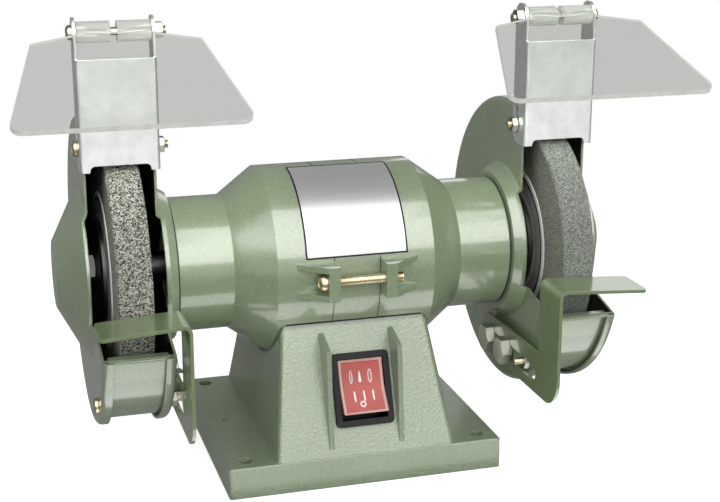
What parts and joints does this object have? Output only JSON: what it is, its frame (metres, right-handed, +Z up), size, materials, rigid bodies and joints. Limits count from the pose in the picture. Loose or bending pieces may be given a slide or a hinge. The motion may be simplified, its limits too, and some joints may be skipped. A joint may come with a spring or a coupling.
{
  "type": "bench grinder",
  "caption": "Bench grinder with guarded wheels on both ends of a motor spindle, sliding tool rests, spark guards, tilting clear eye shields and a rocker switch.",
  "frame": {"origin": "middle of the four foot holes, on the underside of the foot plate", "axes": "+X along the spindle to the user's right, -Y toward the user, +Z up"},
  "size_m": [0.3194, 0.1703, 0.2257],
  "materials": {
    "casting_paint": "hammered sage paint",
    "bell_paint": "satin sage paint",
    "guard_paint": "satin sage paint",
    "rest_paint": "satin sage paint",
    "zinc_sheet": "bright zinc",
    "bright_steel": "bright",
    "yellow_zinc": "yellow zinc",
    "dark_steel": "dark",
    "lamination": "satin",
    "copper": "enamelled",
    "cast_alloy": "as cast",
    "plate_alloy": "brushed",
    "abrasive": "gritty",
    "paper": "matte",
    "clear_sheet": "clear",
    "black_plastic": "satin",
    "red_plastic": "gloss",
    "black_rubber": "matte",
    "brass_tabs": "bright",
    "can_alloy": "satin"
  },
  "bodies": {
    "frame": {"base_casting": "casting_paint", "bottom_cover": "zinc_sheet", "bottom_cover_screws": "bright_steel", "switch_housing": "black_plastic", "switch_terminals": "brass_tabs", "cable_gland": "black_rubber", "capacitor": "can_alloy", "capacitor_clip": "zinc_sheet", "motor_mount_screws": "bright_steel", "left_end_bell": "bell_paint", "right_end_bell": "bell_paint", "stator_core": "lamination", "stator_windings": "copper", "bearing_outer_rings": "bright_steel", "tie_screws": "yellow_zinc", "name_plate": "plate_alloy", "left_guard_back_plate": "guard_paint", "left_guard_cover": "guard_paint", "left_guard_rim": "guard_paint", "left_guard_screws": "bright_steel", "left_cover_screws": "yellow_zinc", "left_cover_nuts": "bright_steel", "left_tool_rest_bolts": "bright_steel", "left_tool_rest_nuts": "bright_steel", "right_guard_back_plate": "guard_paint", "right_guard_cover": "guard_paint", "right_guard_rim": "guard_paint", "right_guard_screws": "bright_steel", "right_cover_screws": "yellow_zinc", "right_cover_nuts": "bright_steel", "right_tool_rest_bolts": "bright_steel", "right_tool_rest_nuts": "bright_steel"},
    "rotor": {"spindle": "bright_steel", "rotor_core": "lamination", "rotor_end_rings": "cast_alloy", "bearing_inner_rings": "bright_steel", "bearing_balls": "bright_steel", "left_wheel": "abrasive", "left_blotters": "paper", "left_inner_flange": "dark_steel", "left_outer_flange": "dark_steel", "left_spindle_nut": "bright_steel", "right_wheel": "abrasive", "right_blotters": "paper", "right_inner_flange": "dark_steel", "right_outer_flange": "dark_steel", "right_spindle_nut": "bright_steel"},
    "left_spark_guard": {"left_spark_guard": "zinc_sheet", "left_shield_pin": "yellow_zinc", "left_shield_nut": "bright_steel"},
    "left_eye_shield": {"left_eye_shield": "clear_sheet"},
    "left_tool_rest": {"left_tool_rest": "rest_paint"},
    "right_spark_guard": {"right_spark_guard": "zinc_sheet", "right_shield_pin": "yellow_zinc", "right_shield_nut": "bright_steel"},
    "right_eye_shield": {"right_eye_shield": "clear_sheet"},
    "right_tool_rest": {"right_tool_rest": "rest_paint"},
    "switch_rocker": {"switch_rocker": "red_plastic"}
  },
  "joints": [
    {"name": "rotor_spin", "type": "hinge", "parent": "frame", "child": "rotor", "pos_m": [0, 0.0025, 0.1], "axis": [1, 0, 0], "continuous": true},
    {"name": "left_spark_guard_slide", "type": "slide", "parent": "frame", "child": "left_spark_guard", "axis": [0, 0, 1], "range_m": [-0.003, 0.0018]},
    {"name": "left_shield_tilt", "type": "hinge", "parent": "left_spark_guard", "child": "left_eye_shield", "pos_m": [0, -0.0215, 0.2185], "axis": [-1, 0, 0], "range_deg": [-40, 80]},
    {"name": "left_tool_rest_slide", "type": "slide", "parent": "frame", "child": "left_tool_rest", "axis": [0, 1, 0], "range_m": [-0.0055, 0.003]},
    {"name": "right_spark_guard_slide", "type": "slide", "parent": "frame", "child": "right_spark_guard", "axis": [0, 0, 1], "range_m": [-0.003, 0.0018]},
    {"name": "right_shield_tilt", "type": "hinge", "parent": "right_spark_guard", "child": "right_eye_shield", "pos_m": [0, -0.0215, 0.2185], "axis": [-1, 0, 0], "range_deg": [-40, 80]},
    {"name": "right_tool_rest_slide", "type": "slide", "parent": "frame", "child": "right_tool_rest", "axis": [0, 1, 0], "range_m": [-0.0055, 0.003]},
    {"name": "switch_rock", "type": "hinge", "parent": "frame", "child": "switch_rocker", "pos_m": [0, -0.0472, 0.04383], "axis": [1, 0, 0], "range_deg": [0, 18]}
  ]
}
